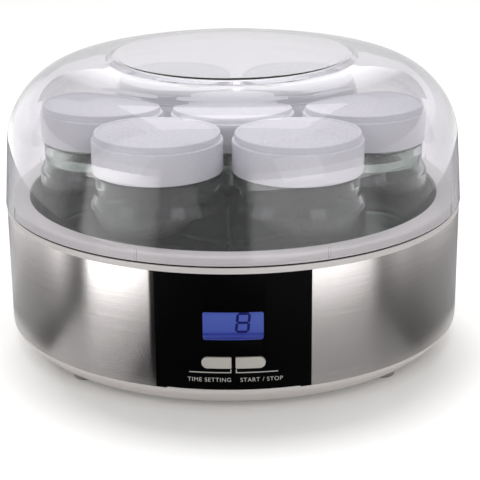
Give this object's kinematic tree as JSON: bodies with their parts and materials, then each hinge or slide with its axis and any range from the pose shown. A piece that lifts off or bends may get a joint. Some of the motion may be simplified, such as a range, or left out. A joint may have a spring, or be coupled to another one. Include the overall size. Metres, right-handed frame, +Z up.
{
  "type": "yogurt maker",
  "caption": "Round electric yogurt maker: heated steel-banded base with a display and push buttons, warming tub, clear lift-off dome cover and glass jars with screw lids.",
  "frame": {"origin": "on the table under the middle of the base", "axes": "+Z up; -Y towards the control panel at the front; +X to the right seen from the front"},
  "size_m": [0.251, 0.2512, 0.1563],
  "materials": {
    "pale_plastic": "moulded plastic, fine satin grain",
    "brushed_band": "stainless steel brushed round the band",
    "foot_rubber": "matt grey rubber",
    "panel_black": "black gloss, smooth",
    "display_lens": "clear window over a blue-lit display, smooth",
    "display_lit": "blue-lit liquid crystal display",
    "light_guide": "milky light guide",
    "button_plastic": "warm grey, satin",
    "switch_plastic": "black moulded plastic",
    "circuit_board": "green solder resist",
    "screw_steel": "zinc-plated steel",
    "tub_plastic": "dark grey moulded plastic, fine grain",
    "spreader_aluminium": "mill finish",
    "heater_foil": "foil over heating wire",
    "felt": "needled insulating felt",
    "fuse_body": "sleeved thermal fuse",
    "transformer_iron": "laminated core and taped winding",
    "capacitor_sleeve": "shrunk sleeve",
    "terminal_plastic": "natural polyamide",
    "gland_plastic": "moulded plastic",
    "clear_plastic": "clear moulded plastic, polished",
    "jar_glass": "clear pressed glass",
    "lid_plastic": "white moulded plastic, satin"
  },
  "bodies": {
    "base": {"upper_housing": "pale_plastic", "bottom_pan": "pale_plastic", "steel_band": "brushed_band", "foot_rear_right": "foot_rubber", "foot_rear_left": "foot_rubber", "foot_front_left": "foot_rubber", "foot_front_right": "foot_rubber", "control_panel": "panel_black", "display_window": "display_lens", "display": "display_lit", "display_backlight": "light_guide", "button_switches": "switch_plastic", "control_board": "circuit_board", "board_screws": "screw_steel", "warming_tub": "tub_plastic", "heat_spreader": "spreader_aluminium", "foil_heater": "heater_foil", "insulating_felt": "felt", "temperature_sensor": "switch_plastic", "thermal_fuse": "fuse_body", "closing_screws": "screw_steel", "tub_screws": "screw_steel", "heater_clamps": "screw_steel", "power_board": "circuit_board", "supply_screws": "screw_steel", "transformer": "transformer_iron", "relay": "switch_plastic", "capacitor": "capacitor_sleeve", "terminal_block": "terminal_plastic", "cord_gland": "gland_plastic"},
    "cover": {"clear_cover": "clear_plastic"},
    "timer_key": {"timer_button": "button_plastic", "timer_plunger": "switch_plastic"},
    "start_key": {"start_button": "button_plastic", "start_plunger": "switch_plastic"},
    "jar_1": {"jar_1": "jar_glass"},
    "jar_lid_1": {"jar_lid_1": "lid_plastic"},
    "jar_2": {"jar_2": "jar_glass"},
    "jar_lid_2": {"jar_lid_2": "lid_plastic"},
    "jar_3": {"jar_3": "jar_glass"},
    "jar_lid_3": {"jar_lid_3": "lid_plastic"},
    "jar_4": {"jar_4": "jar_glass"},
    "jar_lid_4": {"jar_lid_4": "lid_plastic"},
    "jar_5": {"jar_5": "jar_glass"},
    "jar_lid_5": {"jar_lid_5": "lid_plastic"},
    "jar_6": {"jar_6": "jar_glass"},
    "jar_lid_6": {"jar_lid_6": "lid_plastic"},
    "jar_7": {"jar_7": "jar_glass"},
    "jar_lid_7": {"jar_lid_7": "lid_plastic"}
  },
  "joints": [
    {"name": "cover_lift", "type": "slide", "parent": "base", "child": "cover", "axis": [0, 0, 1], "range_m": [0, 0.12]},
    {"name": "timer_press", "type": "slide", "parent": "base", "child": "timer_key", "axis": [0, 1, 0], "range_m": [0, 0.0008], "stiffness_N_per_m": 2000, "springref_m": -0.0004},
    {"name": "start_press", "type": "slide", "parent": "base", "child": "start_key", "axis": [0, 1, 0], "range_m": [0, 0.0008], "stiffness_N_per_m": 2000, "springref_m": -0.0004},
    {"name": "jar_1_lift", "type": "slide", "parent": "base", "child": "jar_1", "axis": [0, 0, 1], "range_m": [0, 0.01]},
    {"name": "jar_lid_1_turn", "type": "hinge", "parent": "jar_1", "child": "jar_lid_1", "pos_m": [0.07175, -0.00269, 0.126], "axis": [0, 0, 1], "range_deg": [0, 270]},
    {"name": "jar_2_lift", "type": "slide", "parent": "base", "child": "jar_2", "axis": [0, 0, 1], "range_m": [0, 0.01]},
    {"name": "jar_lid_2_turn", "type": "hinge", "parent": "jar_2", "child": "jar_lid_2", "pos_m": [0.03821, 0.06079, 0.126], "axis": [0, 0, 1], "range_deg": [0, 270]},
    {"name": "jar_3_lift", "type": "slide", "parent": "base", "child": "jar_3", "axis": [0, 0, 1], "range_m": [0, 0.01]},
    {"name": "jar_lid_3_turn", "type": "hinge", "parent": "jar_3", "child": "jar_lid_3", "pos_m": [-0.03354, 0.06348, 0.126], "axis": [0, 0, 1], "range_deg": [0, 270]},
    {"name": "jar_4_lift", "type": "slide", "parent": "base", "child": "jar_4", "axis": [0, 0, 1], "range_m": [0, 0.01]},
    {"name": "jar_lid_4_turn", "type": "hinge", "parent": "jar_4", "child": "jar_lid_4", "pos_m": [-0.07175, 0.00269, 0.126], "axis": [0, 0, 1], "range_deg": [0, 270]},
    {"name": "jar_5_lift", "type": "slide", "parent": "base", "child": "jar_5", "axis": [0, 0, 1], "range_m": [0, 0.01]},
    {"name": "jar_lid_5_turn", "type": "hinge", "parent": "jar_5", "child": "jar_lid_5", "pos_m": [-0.03821, -0.06079, 0.126], "axis": [0, 0, 1], "range_deg": [0, 270]},
    {"name": "jar_6_lift", "type": "slide", "parent": "base", "child": "jar_6", "axis": [0, 0, 1], "range_m": [0, 0.01]},
    {"name": "jar_lid_6_turn", "type": "hinge", "parent": "jar_6", "child": "jar_lid_6", "pos_m": [0.03354, -0.06348, 0.126], "axis": [0, 0, 1], "range_deg": [0, 270]},
    {"name": "jar_7_lift", "type": "slide", "parent": "base", "child": "jar_7", "axis": [0, 0, 1], "range_m": [0, 0.022]},
    {"name": "jar_lid_7_turn", "type": "hinge", "parent": "jar_7", "child": "jar_lid_7", "pos_m": [0, 0, 0.126], "axis": [0, 0, 1], "range_deg": [0, 270]}
  ]
}
